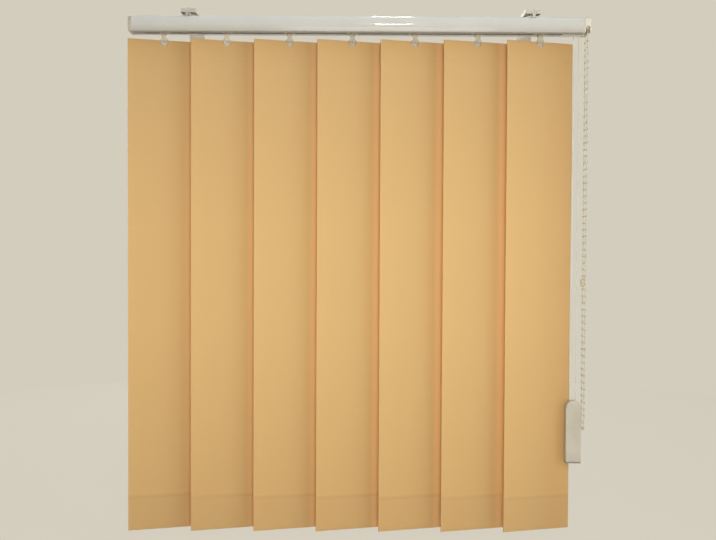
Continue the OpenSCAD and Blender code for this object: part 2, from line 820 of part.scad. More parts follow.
// vane: one strip of cloth with a folded top pocket, a half-round cut for the hook and a bottom pocket
module vane(n) {
    i = pocket_in / 2;
    t = fabric_t;
    z0 = vane_top;
    z1 = vane_top - vane_l;
    color([0.83, 0.67, 0.42])
        at_vane(n)
            difference() {
                along_x(-vane_w / 2, vane_w / 2)
                    polygon([[-i - t, z0], [i + t, z0], [i + t, z0 - top_hem_h + 6], [-i, z0 - top_hem_h],
                        [-i, z1 + hem_h], [i + t, z1 + hem_h - 6], [i + t, z1], [-i - t, z1]]);
                along_x(-vane_w, vane_w)
                    polygon([[-i, z0 - t], [i, z0 - t], [i, z0 - top_hem_h + 6.2],
                        [-i, z0 - top_hem_h + 1.5]]);
                along_x(-vane_w, vane_w)
                    polygon([[-i, z1 + t], [i, z1 + t], [i, z1 + hem_h - 6.2], [-i, z1 + hem_h - 1.5]]);
                translate([0, 0, z0 - peg_drop + 1])
                    bar_y(0, 0, notch_r, -5, 5);
                box([-notch_r, -5, z0 - peg_drop + 1], [notch_r, 5, z0 + 1]);
            }
}

// ballast: thin plate that lies in the bottom pocket
module ballast(n) {
    w = vane_w - 6;
    color([0.6, 0.6, 0.58])
        at_vane(n)
            box([-w / 2, -plate_t / 2, vane_top - vane_l + fabric_t],
                [w / 2, plate_t / 2, vane_top - vane_l + hem_h - 10]);
}

head_rail();
idle_end_cap();
control_housing();
control_cover();
bracket_left();
bracket_right();
clip_left();
clip_right();
bracket_screws();
tilt_rod();
chain_wheel();
idle_pulley();
cord_pulley_high();
cord_pulley_low();
traverse_cord();
bead_chain();
chain_joiner();
cord_weight();
carrier(1);  // carrier_1
carrier(2);  // carrier_2
carrier(3);  // carrier_3
carrier(4);  // carrier_4
carrier(5);  // carrier_5
carrier(6);  // carrier_6
carrier(7);  // carrier_7
worm(1);  // worm_1
worm(2);  // worm_2
worm(3);  // worm_3
worm(4);  // worm_4
worm(5);  // worm_5
worm(6);  // worm_6
worm(7);  // worm_7
hook(1);  // hook_1
hook(2);  // hook_2
hook(3);  // hook_3
hook(4);  // hook_4
hook(5);  // hook_5
hook(6);  // hook_6
hook(7);  // hook_7
hanger(1);  // hanger_1
hanger(2);  // hanger_2
hanger(3);  // hanger_3
hanger(4);  // hanger_4
hanger(5);  // hanger_5
hanger(6);  // hanger_6
hanger(7);  // hanger_7
vane(1);  // vane_1
vane(2);  // vane_2
vane(3);  // vane_3
vane(4);  // vane_4
vane(5);  // vane_5
vane(6);  // vane_6
vane(7);  // vane_7
ballast(1);  // ballast_1
ballast(2);  // ballast_2
ballast(3);  // ballast_3
ballast(4);  // ballast_4
ballast(5);  // ballast_5
ballast(6);  // ballast_6
ballast(7);  // ballast_7
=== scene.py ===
import bpy, math, random
from mathutils import Matrix, Vector


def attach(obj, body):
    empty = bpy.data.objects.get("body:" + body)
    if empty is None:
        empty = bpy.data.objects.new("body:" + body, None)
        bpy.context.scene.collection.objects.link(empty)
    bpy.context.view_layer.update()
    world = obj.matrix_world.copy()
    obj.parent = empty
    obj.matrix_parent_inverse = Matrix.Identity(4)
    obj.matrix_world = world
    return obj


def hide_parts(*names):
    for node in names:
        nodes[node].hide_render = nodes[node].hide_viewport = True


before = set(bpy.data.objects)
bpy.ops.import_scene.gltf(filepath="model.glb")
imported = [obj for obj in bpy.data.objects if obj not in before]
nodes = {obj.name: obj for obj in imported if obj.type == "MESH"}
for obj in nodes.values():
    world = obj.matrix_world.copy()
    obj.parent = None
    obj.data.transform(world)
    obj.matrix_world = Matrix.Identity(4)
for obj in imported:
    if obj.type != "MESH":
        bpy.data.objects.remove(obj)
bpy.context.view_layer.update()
scene = bpy.context.scene
scene.view_settings.view_transform = "Standard"

# Camera: a metre and a half in front of the blind, a little above the middle of the vanes,
# looking very slightly down, with the picture's own small roll.
SENSOR_W, LENS_PX, PICTURE_PX = 36.0, 805.0, 716.0
CAMERA_AT = (-0.0026, -1.535, -0.3984)
LOOK_DOWN, ROLL = 1.21, 0.26
camera_data = bpy.data.cameras.new("front_camera")
camera_data.sensor_fit = "HORIZONTAL"
camera_data.sensor_width = SENSOR_W
camera_data.lens = SENSOR_W * LENS_PX / PICTURE_PX
camera = bpy.data.objects.new("front_camera", camera_data)
scene.collection.objects.link(camera)
camera.matrix_world = (Matrix.Translation(CAMERA_AT)
                       @ Matrix.Rotation(math.radians(90.0 - LOOK_DOWN), 4, "X")
                       @ Matrix.Rotation(math.radians(ROLL), 4, "Z"))
scene.camera = camera

# Traverse cord: braided polyester, 1.8 mm thick. Two strands hang from the control end down into the
# weight; between them the cord runs along inside the rail and turns round a pulley at each end.
RAIL_Z = -0.0039
STEM_Y = -0.075
CORD_R = 0.0009
HANG_X, HANG_Y = 0.389, STEM_Y - 0.002
BACK_Y = STEM_Y + 0.0092
TURN_R, LOW_R = 0.0045, 0.004
CORD_LOW, CORD_MID, CORD_HIGH = RAIL_Z + 0.011, RAIL_Z + 0.0155, RAIL_Z + 0.020
LOW_X, LOW_Z = HANG_X - TURN_R - LOW_R, RAIL_Z + 0.007
FLEET_X, IDLE_X = 0.351, -0.400
EASE, SIDE_STEP = 0.006, 0.001
WEIGHT_TOP, IN_WEIGHT = RAIL_Z - 0.660, 0.010


def cord_curve(name, points, radius):
    """A round cord along points, as one open spline with closed ends."""
    data = bpy.data.curves.new(name, "CURVE")
    data.dimensions = "3D"
    data.bevel_depth = radius
    data.bevel_resolution = 3
    data.use_fill_caps = True
    spline = data.splines.new("POLY")
    spline.points.add(len(points) - 1)
    for point, place in zip(spline.points, points):
        point.co = (*place, 1.0)
    spline.use_smooth = True
    cord = bpy.data.objects.new(name, data)
    scene.collection.objects.link(cord)
    return cord


def straight(a, b, n):
    """Points from a to b in n equal steps."""
    return [tuple(a[k] + (b[k] - a[k]) * i / n for k in range(3)) for i in range(n + 1)]


def turn(x, y, z, r, start, end, n):
    """Points of an upright arc round (x, y, z), from start to end in degrees."""
    angles = [math.radians(start + (end - start) * i / n) for i in range(n + 1)]
    return [(x + r * math.cos(a), y, z + r * math.sin(a)) for a in angles]


def new_material(name, roughness):
    """A new material, with its node tree and its shader."""
    material = bpy.data.materials.new(name)
    material.use_nodes = True
    surface = material.node_tree.nodes["Principled BSDF"]
    surface.inputs["Roughness"].default_value = roughness
    return material, material.node_tree, surface


def texture_on(tree, kind, source="Object", stretch=(1, 1, 1), turned=(0, 0, 0), **values):
    """A texture node on Object coordinates (or the piece's UV), stretched and turned."""
    place = tree.nodes.new("ShaderNodeTexCoord")
    mapping = tree.nodes.new("ShaderNodeMapping")
    mapping.inputs["Scale"].default_value = stretch
    mapping.inputs["Rotation"].default_value = turned
    texture = tree.nodes.new(kind)
    for key, value in values.items():
        texture.inputs[key].default_value = value
    tree.links.new(place.outputs[source], mapping.inputs["Vector"])
    tree.links.new(mapping.outputs["Vector"], texture.inputs["Vector"])
    return texture


def tones(tree, factor, stops):
    """A colour ramp from (place, colour) stops."""
    ramp = tree.nodes.new("ShaderNodeValToRGB")
    while len(ramp.color_ramp.elements) < len(stops):
        ramp.color_ramp.elements.new(0.5)
    for element, (place, colour) in zip(ramp.color_ramp.elements, stops):
        element.position = place
        element.color = (*colour, 1)
    tree.links.new(factor, ramp.inputs["Fac"])
    return ramp.outputs["Color"]


def relief(tree, surface, height, strength, depth):
    """Raise the surface by a height socket."""
    bump = tree.nodes.new("ShaderNodeBump")
    bump.inputs["Strength"].default_value = strength
    bump.inputs["Distance"].default_value = depth
    tree.links.new(height, bump.inputs["Height"])
    tree.links.new(bump.outputs["Normal"], surface.inputs["Normal"])


cord_braid, tree, surface = new_material("cord_braid", 0.8)
plait = texture_on(tree, "ShaderNodeTexWave", turned=(0, 0.6, 0), Scale=520.0, Distortion=2.0, Detail=1.0)
tree.links.new(tones(tree, plait.outputs["Fac"], [(0.1, (0.72, 0.67, 0.57)), (0.9, (0.86, 0.82, 0.72))]),
               surface.inputs["Base Color"])
relief(tree, surface, plait.outputs["Fac"], 0.5, 0.0002)

strand_routes = {}
for name, x in (("cord_strand_a", HANG_X - TURN_R), ("cord_strand_b", HANG_X + TURN_R)):
    strand_routes[name] = straight((x, HANG_Y, RAIL_Z), (x, HANG_Y, WEIGHT_TOP - IN_WEIGHT), 40)
rail_route = [(HANG_X - TURN_R, HANG_Y, RAIL_Z)]
rail_route += turn(LOW_X, HANG_Y, LOW_Z, LOW_R, 0, 90, 6)
rail_route += [(LOW_X - LOW_R, HANG_Y + SIDE_STEP, CORD_LOW),
               (FLEET_X + EASE, BACK_Y - SIDE_STEP, CORD_LOW), (FLEET_X - EASE, BACK_Y, CORD_LOW),
               (0.0, BACK_Y, CORD_LOW)]
rail_route += turn(IDLE_X, BACK_Y, CORD_MID, TURN_R, 270, 90, 12)
rail_route += [(0.0, BACK_Y, CORD_HIGH), (FLEET_X - EASE, BACK_Y, CORD_HIGH),
               (FLEET_X + EASE, BACK_Y - SIDE_STEP, CORD_HIGH),
               (HANG_X - EASE, HANG_Y + SIDE_STEP, CORD_HIGH)]
rail_route += turn(HANG_X, HANG_Y, CORD_MID, TURN_R, 90, 0, 6)
rail_route += [(HANG_X + TURN_R, HANG_Y, RAIL_Z)]
cord_parts = [cord_curve("cord_in_rail", rail_route, CORD_R)]
cord_parts += [cord_curve(name, route, CORD_R) for name, route in strand_routes.items()]
for part in cord_parts:
    part.data.materials.append(cord_braid)
    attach(part, "rail")
    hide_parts("traverse_cord")

# Bead chain: moulded ivory beads of 4.5 mm every 12 mm on a thin polyester thread, in one closed loop.
# It runs over the chain wheel in the control end and hangs open at the bottom.
CHAIN_X = 0.4051
BEAD_R, BEAD_PITCH, BEADS = 0.00225, 0.012, 60
THREAD_R, BEAD_FLAT = 0.0006, 0.95
DROP = BEADS * BEAD_PITCH
WHEEL_R = 4 * BEAD_PITCH / (2 * math.pi)
WHEEL_Y, WHEEL_Z = STEM_Y - 0.008, RAIL_Z + 0.0155


def half_loop(z, up, n):
    """Points of half a turn of chain, from the front strand to the back one."""
    return [(CHAIN_X, WHEEL_Y - WHEEL_R * math.cos(a), z + up * WHEEL_R * math.sin(a))
            for a in [math.pi * i / n for i in range(n + 1)]]


front_top = (CHAIN_X, WHEEL_Y - WHEEL_R, WHEEL_Z)
back_top = (CHAIN_X, WHEEL_Y + WHEEL_R, WHEEL_Z)
chain_route = straight(front_top, (CHAIN_X, WHEEL_Y - WHEEL_R, WHEEL_Z - DROP), 30)
chain_route += half_loop(WHEEL_Z - DROP, -1, 18)[1:-1]
chain_route += straight((CHAIN_X, WHEEL_Y + WHEEL_R, WHEEL_Z - DROP), back_top, 30)
chain_thread = cord_curve("chain_thread", chain_route, THREAD_R)
thread_on_wheel = cord_curve("chain_thread_on_wheel", half_loop(WHEEL_Z, 1, 18), THREAD_R)


def deselect():
    """Leave edit mode and select nothing."""
    if bpy.context.object and bpy.context.object.mode != "OBJECT":
        bpy.ops.object.mode_set(mode="OBJECT")
    bpy.ops.object.select_all(action="DESELECT")


def join_as(name, parts):
    """Join the parts into one piece."""
    deselect()
    for part in parts:
        part.select_set(True)
    bpy.context.view_layer.objects.active = parts[0]
    bpy.ops.object.join()
    bpy.ops.object.transform_apply(location=True, rotation=True, scale=True)
    parts[0].name = name
    return parts[0]


def repeat(piece, count, step):
    """Array the piece by a fixed step and apply it."""
    array = piece.modifiers.new("repeat", "ARRAY")
    array.count = count
    array.use_relative_offset = False
    array.use_constant_offset = True
    array.constant_offset_displace = step
    deselect()
    piece.select_set(True)
    bpy.context.view_layer.objects.active = piece
    bpy.ops.object.modifier_apply(modifier="repeat")


def bead_at(place):
    """One bead, slightly flattened along the thread."""
    deselect()
    bpy.ops.mesh.primitive_uv_sphere_add(segments=10, ring_count=7, radius=BEAD_R, location=place)
    bead = bpy.context.object
    bpy.ops.object.mode_set(mode="EDIT")
    bpy.ops.transform.resize(value=(1.0, 1.0, BEAD_FLAT), center_override=place)
    bpy.ops.object.mode_set(mode="OBJECT")
    bpy.ops.object.shade_smooth()
    return bead


strand_beads = bead_at((CHAIN_X, WHEEL_Y - WHEEL_R, WHEEL_Z - BEAD_PITCH / 2))
bpy.ops.object.transform_apply(location=True, rotation=True, scale=True)
repeat(strand_beads, BEADS, (0, 0, -BEAD_PITCH))
repeat(strand_beads, 2, (0, 2 * WHEEL_R, 0))
loop_beads = [bead_at(half_loop(z, up, 4)[i])
              for z, up in ((WHEEL_Z, 1), (WHEEL_Z - DROP, -1)) for i in (1, 3)]
chain_beads = join_as("chain_beads", [strand_beads] + loop_beads)

bead_ivory, tree, surface = new_material("bead_ivory", 0.35)
mottle = texture_on(tree, "ShaderNodeTexNoise", Scale=160.0, Detail=3.0)
tree.links.new(tones(tree, mottle.outputs["Fac"], [(0.3, (0.55, 0.495, 0.33)), (0.7, (0.66, 0.605, 0.43))]),
               surface.inputs["Base Color"])
relief(tree, surface, mottle.outputs["Fac"], 0.15, 0.0001)
for part in (chain_thread, thread_on_wheel, chain_beads):
    part.data.materials.append(bead_ivory)
    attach(part, "rail")
    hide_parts("bead_chain")


# Chain joiner: a small moulded barrel, clipped over the two ends of the chain.
# The solid is right as it is and takes a smooth, slightly yellowed moulded finish.
def finish_node(node, material):
    """Give a CAD node a finish, in place of the plain one it comes with."""
    data = nodes[node].data
    if not data.materials:
        data.materials.append(material)
    for i in range(len(data.materials)):
        data.materials[i] = material


finish_node("chain_joiner", bead_ivory)

# Wall brackets: pressed steel angles, zinc plated, with turned-down edges along the arm. Each leg is
# screwed to the wall and the arm reaches out over the rail. The wall side is painted paler, painted light on
# the shaded leg.
LEG_PAINTED_LIGHT, ARM_PLAIN = -0.003, -0.010


def place_on(tree, axis, source="Object"):
    """One axis of the piece's place in the frame, of its UV or of its normal."""
    place = tree.nodes.new("ShaderNodeTexCoord")
    split = tree.nodes.new("ShaderNodeSeparateXYZ")
    tree.links.new(place.outputs[source], split.inputs[0])
    return split.outputs[axis]


def level_along(tree, axis, low, high, source="Object"):
    """0 to 1 along an axis, from low to high."""
    level = tree.nodes.new("ShaderNodeMapRange")
    level.inputs["From Min"].default_value = low
    level.inputs["From Max"].default_value = high
    tree.links.new(place_on(tree, axis, source), level.inputs["Value"])
    return level.outputs["Result"]


def feed(tree, value, socket):
    """Link an output to the socket, or set the socket to a plain value."""
    if isinstance(value, (int, float, tuple)):
        socket.default_value = value
    else:
        tree.links.new(value, socket)


def mixed(tree, factor, first, second, blend="MIX"):
    """Two colours mixed by a factor."""
    mix = tree.nodes.new("ShaderNodeMix")
    mix.data_type = "RGBA"
    mix.blend_type = blend
    for name, value in (("Factor", factor), ("A", first), ("B", second)):
        feed(tree, value, mix.inputs[name])
    return mix.outputs["Result"]


zinc_plate, tree, surface = new_material("zinc_plate", 0.42)
spangle = texture_on(tree, "ShaderNodeTexVoronoi", Scale=260.0)
cloud = texture_on(tree, "ShaderNodeTexNoise", Scale=45.0, Detail=4.0)
plated = tones(tree, cloud.outputs["Fac"], [(0.3, (0.53, 0.50, 0.42)), (0.7, (0.62, 0.59, 0.50))])
# painted light: the plate is made paler towards the wall, where the leg lies in shade
painted_light_at_wall = level_along(tree, "Y", ARM_PLAIN, LEG_PAINTED_LIGHT)
tree.links.new(mixed(tree, painted_light_at_wall, plated, (0.95, 0.94, 0.91, 1)), surface.inputs["Base Color"])
worn = tones(tree, spangle.outputs["Distance"], [(0.0, (0.34, 0.34, 0.34)), (0.6, (0.52, 0.52, 0.52))])
tree.links.new(worn, surface.inputs["Roughness"])
surface.inputs["Metallic"].default_value = 0.2
relief(tree, surface, cloud.outputs["Fac"], 0.08, 0.0002)
for side in ("left", "right"):
    finish_node("bracket_" + side, zinc_plate)

# Bracket screws and rail clips: bright plated screws and springy steel clips that snap on the rail's lips.
# Fine brushed lines run across the steel.
spring_steel, tree, surface = new_material("spring_steel", 0.35)
brushed = texture_on(tree, "ShaderNodeTexNoise", stretch=(40, 900, 40), Scale=8.0, Detail=4.0)
tree.links.new(tones(tree, brushed.outputs["Fac"], [(0.3, (0.42, 0.42, 0.40)), (0.7, (0.58, 0.57, 0.54))]),
               surface.inputs["Base Color"])
surface.inputs["Metallic"].default_value = 0.9
relief(tree, surface, brushed.outputs["Fac"], 0.1, 0.0001)
for node in ("clip_left", "clip_right", "bracket_screws"):
    finish_node(node, spring_steel)

# Head rail: an extruded aluminium channel, powder coated off-white, with bowed front and back.
# Faint drawing lines run along it and the coat has a soft gloss; painted shade greys its lower edge and
# darkens the underside of its front lip.
RAIL_H, RAIL_D = 0.0265, 0.036
UNDERSIDE = 0.015
rail_coat, tree, surface = new_material("rail_coat", 0.5)
drawn = texture_on(tree, "ShaderNodeTexNoise", stretch=(3, 160, 160), Scale=6.0, Detail=5.0)
grime = texture_on(tree, "ShaderNodeTexNoise", Scale=14.0, Detail=4.0, Roughness=0.6)
coat = tones(tree, grime.outputs["Fac"], [(0.25, (0.71, 0.712, 0.675)), (0.75, (0.76, 0.762, 0.73))])


def maths(tree, operation, *values):
    """One maths step on sockets or numbers."""
    step = tree.nodes.new("ShaderNodeMath")
    step.operation = operation
    for value, socket in zip(values, step.inputs):
        feed(tree, value, socket)
    return step.outputs[0]


def smooth_copy(node, body, material, angle=35):
    """A copy of a CAD node with merged points and smooth curved faces, standing for it."""
    piece = bpy.data.objects.new(node + "_shell", nodes[node].data.copy())
    scene.collection.objects.link(piece)
    piece.data.materials.clear()
    piece.data.materials.append(material)
    deselect()
    piece.select_set(True)
    bpy.context.view_layer.objects.active = piece
    bpy.ops.object.mode_set(mode="EDIT")
    bpy.ops.mesh.select_all(action="SELECT")
    bpy.ops.mesh.remove_doubles(threshold=0.000005)
    bpy.ops.mesh.customdata_custom_splitnormals_clear()
    bpy.ops.object.mode_set(mode="OBJECT")
    for face in piece.data.polygons:
        face.material_index = 0
    bpy.ops.object.shade_smooth_by_angle(angle=math.radians(angle))
    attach(piece, body)
    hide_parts(node)


def painted_lower_shade(tree, colour):
    """The colour with painted shade: greyed towards the rail's lower edge and darker under the front lip."""
    level = level_along(tree, "Z", RAIL_Z, RAIL_Z + RAIL_H)
    shade = tones(tree, level, [
        (0.01, (1, 1, 1)), (0.02, (0.62, 0.59, 0.53)), (0.06, (0.69, 0.66, 0.61)),
        (0.45, (0.86, 0.84, 0.80)), (1.0, (1, 1, 1))])
    depth = level_along(tree, "Y", STEM_Y - RAIL_D / 2, STEM_Y + RAIL_D / 2)
    # painted shade on the underside, darkest under the front lip
    lip = tones(tree, depth, [
        (0.02, (1, 1, 1)), (0.06, (0.50, 0.48, 0.44)), (0.33, (0.50, 0.48, 0.44)), (0.50, (1, 1, 1))])
    below = maths(tree, "LESS_THAN", level, UNDERSIDE)
    return mixed(tree, 1.0, colour, mixed(tree, below, shade, lip), "MULTIPLY")


tree.links.new(painted_lower_shade(tree, coat), surface.inputs["Base Color"])
tree.links.new(tones(tree, drawn.outputs["Fac"], [(0.3, (0.46, 0.46, 0.46)), (0.7, (0.56, 0.56, 0.56))]),
               surface.inputs["Roughness"])
surface.inputs["Specular IOR Level"].default_value = 0.25
surface.inputs["Coat Weight"].default_value = 0.4
surface.inputs["Coat Roughness"].default_value = 0.06
relief(tree, surface, drawn.outputs["Fac"], 0.004, 0.0001)
smooth_copy("head_rail", "rail", rail_coat)

# End cap: moulded plastic, slightly yellower than the rail, pushed into its left end.
# It carries the idle pulley on a pin and the far bearing of the tilt rod.
cap_plastic, tree, surface = new_material("cap_plastic", 0.45)
moulded = texture_on(tree, "ShaderNodeTexNoise", Scale=420.0, Detail=2.0)
aged = texture_on(tree, "ShaderNodeTexNoise", Scale=30.0, Detail=3.0)
tree.links.new(tones(tree, aged.outputs["Fac"], [(0.3, (0.49, 0.45, 0.36)), (0.7, (0.55, 0.51, 0.42))]),
               surface.inputs["Base Color"])
relief(tree, surface, moulded.outputs["Fac"], 0.12, 0.0001)
smooth_copy("idle_end_cap", "rail", cap_plastic)

# Control end: a moulded housing plugged into the rail's right end, with a taller chamber for the chain
# wheel, an arch where the chain comes out, and a snap-on side cover. Its outer end is cream.
WHITE_TO, CREAM_FROM = 0.3970, 0.4020
control_plastic, tree, surface = new_material("control_plastic", 0.5)
moulded = texture_on(tree, "ShaderNodeTexNoise", Scale=420.0, Detail=2.0)
aged = texture_on(tree, "ShaderNodeTexNoise", Scale=26.0, Detail=3.0)
off_white = tones(tree, aged.outputs["Fac"], [(0.3, (0.71, 0.712, 0.675)), (0.7, (0.76, 0.762, 0.73))])
# the rail-toned part takes the rail's painted shade towards its lower edge and under the front lip
shaded_rail_tone = painted_lower_shade(tree, off_white)
cream = tones(tree, aged.outputs["Fac"], [(0.3, (0.765, 0.715, 0.585)), (0.7, (0.84, 0.79, 0.665))])
beyond = level_along(tree, "X", WHITE_TO, CREAM_FROM)
tree.links.new(mixed(tree, beyond, shaded_rail_tone, cream), surface.inputs["Base Color"])
surface.inputs["Specular IOR Level"].default_value = 0.25
surface.inputs["Coat Weight"].default_value = 0.3
surface.inputs["Coat Roughness"].default_value = 0.1
relief(tree, surface, moulded.outputs["Fac"], 0.05, 0.0001)
for node in ("control_housing", "control_cover"):
    smooth_copy(node, "rail", control_plastic)

# Tilt rod: a drawn aluminium rod along the rail, turned by the chain wheel.
# Fine draw lines run along it.
rod_metal, tree, surface = new_material("rod_metal", 0.3)
drawn = texture_on(tree, "ShaderNodeTexNoise", stretch=(4, 900, 900), Scale=6.0, Detail=3.0)
tree.links.new(tones(tree, drawn.outputs["Fac"], [(0.3, (0.62, 0.62, 0.62)), (0.7, (0.76, 0.76, 0.75))]),
               surface.inputs["Base Color"])
surface.inputs["Metallic"].default_value = 1.0
relief(tree, surface, drawn.outputs["Fac"], 0.1, 0.0001)
finish_node("tilt_rod", rod_metal)

# Wheel, pulleys, worms and carriers: natural white acetal mouldings with a fine matt grain.
# The chain wheel turns the rod, the worms ride on it, and the carriers run along inside the rail.
acetal, tree, surface = new_material("acetal_white", 0.5)
moulded = texture_on(tree, "ShaderNodeTexNoise", Scale=600.0, Detail=2.0)
flow = texture_on(tree, "ShaderNodeTexNoise", Scale=60.0, Detail=2.0)
tree.links.new(tones(tree, flow.outputs["Fac"], [(0.3, (0.68, 0.66, 0.60)), (0.7, (0.78, 0.76, 0.71))]),
               surface.inputs["Base Color"])
relief(tree, surface, moulded.outputs["Fac"], 0.1, 0.0001)
for node in ("chain_wheel", "idle_pulley", "cord_pulley_high", "cord_pulley_low"):
    finish_node(node, acetal)
for n in range(1, 8):
    finish_node("carrier_%d" % n, acetal)
    finish_node("worm_%d" % n, acetal)

# Vane hooks and hanger plates: clear moulded plastic. The stem turns in its carrier and the fork below
# holds the plate that sits in the vane's top pocket. The fork is clearer than the stem.
FORK_Z, STEM_Z = -0.021, -0.013
clear_plastic, tree, surface = new_material("clear_plastic", 0.25)
haze = texture_on(tree, "ShaderNodeTexNoise", Scale=220.0, Detail=3.0)
tree.links.new(tones(tree, haze.outputs["Fac"], [(0.3, (0.47, 0.40, 0.27)), (0.7, (0.60, 0.52, 0.38))]),
               surface.inputs["Base Color"])
haze_by_height = tones(tree, level_along(tree, "Z", FORK_Z, STEM_Z),
                       [(0.0, (0.19, 0.19, 0.19)), (1.0, (0.62, 0.62, 0.62))])
tree.links.new(haze_by_height, surface.inputs["Alpha"])
surface.inputs["Specular IOR Level"].default_value = 0.25
for n in range(1, 8):
    finish_node("hook_%d" % n, clear_plastic)
    finish_node("hanger_%d" % n, clear_plastic)

# Ballast plates: flat mild steel strips that slide into the bottom pockets and keep the vanes straight.
# Cold rolled, with faint rust bloom.
strip_steel, tree, surface = new_material("strip_steel", 0.45)
bloom = texture_on(tree, "ShaderNodeTexNoise", Scale=70.0, Detail=5.0)
tree.links.new(tones(tree, bloom.outputs["Fac"], [(0.35, (0.40, 0.39, 0.37)), (0.75, (0.52, 0.48, 0.42))]),
               surface.inputs["Base Color"])
surface.inputs["Metallic"].default_value = 0.8
relief(tree, surface, bloom.outputs["Fac"], 0.1, 0.0001)
for n in range(1, 8):
    finish_node("ballast_%d" % n, strip_steel)

# Vanes: strips of woven polyester cloth in pale apricot, 127 mm wide, stiffened, hung from the top pocket.
# Both ends are folded to the back and sealed along a line; a half-round notch at the top takes the hook.
# On the front, painted shade darkens each vane from its paler left edge towards the right, and painted light
# lifts and reddens the right margin, where the next vane shades it.
VANE_W, VANE_L = 0.127, 0.885
VANE_TOP = -0.0169
VANE_FOOT = VANE_TOP - VANE_L
FIRST_X, VANE_PITCH = -0.354, 0.113
TILT = math.radians(13)
CLOTH_T = 0.0004
FOLD_Y, FOLD_ROUND = 0.0009, 0.0007
HEM, TOP_HEM, HEM_RUN_OUT, HEM_GAP = 0.060, 0.036, 0.006, 0.0001
SEAM_HALF, SEAM_DEEP = 0.0012, 0.0003
NOTCH_R, NOTCH_Z = 0.005, VANE_TOP - 0.005
NOTCH_LINE, NOTCH_OPEN = NOTCH_Z + 0.0001, 0.008
NEAR = 1e-5


def edit(piece):
    """Make the piece active, with none of its points selected."""
    deselect()
    piece.select_set(True)
    bpy.context.view_layer.objects.active = piece
    bpy.ops.object.mode_set(mode="EDIT")
    bpy.ops.mesh.select_mode(type="VERT")
    bpy.ops.mesh.select_all(action="DESELECT")
    bpy.ops.object.mode_set(mode="OBJECT")


def pick(piece, test, kind="VERT"):
    """Select what passes the test, by place, and go into edit mode."""
    edit(piece)
    if kind == "VERT":
        for v in piece.data.vertices:
            v.select = test(v.co)
    elif kind == "EDGE":
        for e in piece.data.edges:
            a, b = (piece.data.vertices[i].co for i in e.vertices)
            e.select = test(a) and test(b)
    else:
        for f in piece.data.polygons:
            f.select = test(f.center)
    bpy.ops.object.mode_set(mode="EDIT")
    bpy.ops.mesh.select_mode(type=kind)


def push_out(step):
    """Extrude what is selected by a step."""
    bpy.ops.mesh.extrude_region_move(TRANSFORM_OT_translate={"value": step})


def apply_modifier(piece, kind, **values):
    """Put a modifier on the piece and apply it."""
    modifier = piece.modifiers.new("shape", kind)
    for key, value in values.items():
        setattr(modifier, key, value)
    deselect()
    piece.select_set(True)
    bpy.context.view_layer.objects.active = piece
    bpy.ops.object.modifier_apply(modifier="shape")


deselect()
bpy.ops.mesh.primitive_grid_add(x_subdivisions=20, y_subdivisions=90, size=1.0,
                                location=(0, -FOLD_Y, VANE_TOP - VANE_L / 2), rotation=(math.pi / 2, 0, 0))
cloth = bpy.context.object
cloth.scale = (VANE_W, VANE_L, 1)
bpy.ops.object.transform_apply(location=True, rotation=True, scale=True)
# rows of points at the two sealed lines
for seam in (VANE_FOOT + HEM, VANE_TOP - TOP_HEM):
    for z in (seam - SEAM_HALF, seam, seam + SEAM_HALF):
        pick(cloth, lambda p: True)
        bpy.ops.mesh.bisect(plane_co=(0, 0, z), plane_no=(0, 0, 1))
# the folded-back hems, bottom and top, each with a round fold
for z, up, height in ((VANE_FOOT, 1, HEM), (VANE_TOP, -1, TOP_HEM)):
    pick(cloth, lambda p: abs(p.z - z) < NEAR, "EDGE")
    push_out((0, 2 * FOLD_Y, 0))
    push_out((0, 0, up * (height - HEM_RUN_OUT)))
    push_out((0, -2 * FOLD_Y + CLOTH_T + HEM_GAP, up * HEM_RUN_OUT))
    # of the fold's edges, only those along it are rounded
    pick(cloth, lambda p: abs(p.z - z) < NEAR, "EDGE")
    bpy.ops.object.mode_set(mode="OBJECT")
    for e in cloth.data.edges:
        a, b = (cloth.data.vertices[i].co for i in e.vertices)
        e.select = abs(a.z - z) < NEAR and abs(b.z - z) < NEAR and abs(a.y - b.y) < NEAR
    bpy.ops.object.mode_set(mode="EDIT")
    bpy.ops.mesh.select_mode(type="EDGE")
    bpy.ops.mesh.bevel(offset=FOLD_ROUND, segments=3, affect="EDGES")
bpy.ops.mesh.select_all(action="SELECT")
bpy.ops.mesh.normals_make_consistent(inside=False)
bpy.ops.object.mode_set(mode="OBJECT")
# the sealed lines lie a little deeper on the front
for v in cloth.data.vertices:
    for seam in (VANE_FOOT + HEM, VANE_TOP - TOP_HEM):
        if v.co.y < 0 and abs(v.co.z - seam) < NEAR:
            v.co.y += SEAM_DEEP
weave_map = cloth.data.uv_layers[0]
weave_map.name = "weave"
for loop in cloth.data.loops:
    p = cloth.data.vertices[loop.vertex_index].co
    weave_map.data[loop.index].uv = (p.x, p.z)
apply_modifier(cloth, "SOLIDIFY", thickness=CLOTH_T, offset=0.0)
deselect()
bpy.ops.mesh.primitive_cylinder_add(vertices=40, radius=NOTCH_R, depth=0.01, location=(0, 0, NOTCH_Z),
                                    rotation=(math.pi / 2, 0, 0))
cutter = bpy.context.object
bpy.ops.object.transform_apply(location=True, rotation=True, scale=True)
pick(cutter, lambda p: p.z > NOTCH_LINE)
bpy.ops.transform.resize(value=(1, 1, 0), center_override=(0, 0, NOTCH_LINE))
bpy.ops.transform.translate(value=(0, 0, NOTCH_OPEN))
bpy.ops.object.mode_set(mode="OBJECT")
apply_modifier(cloth, "BOOLEAN", operation="DIFFERENCE", object=cutter, solver="EXACT")
bpy.data.objects.remove(cutter)

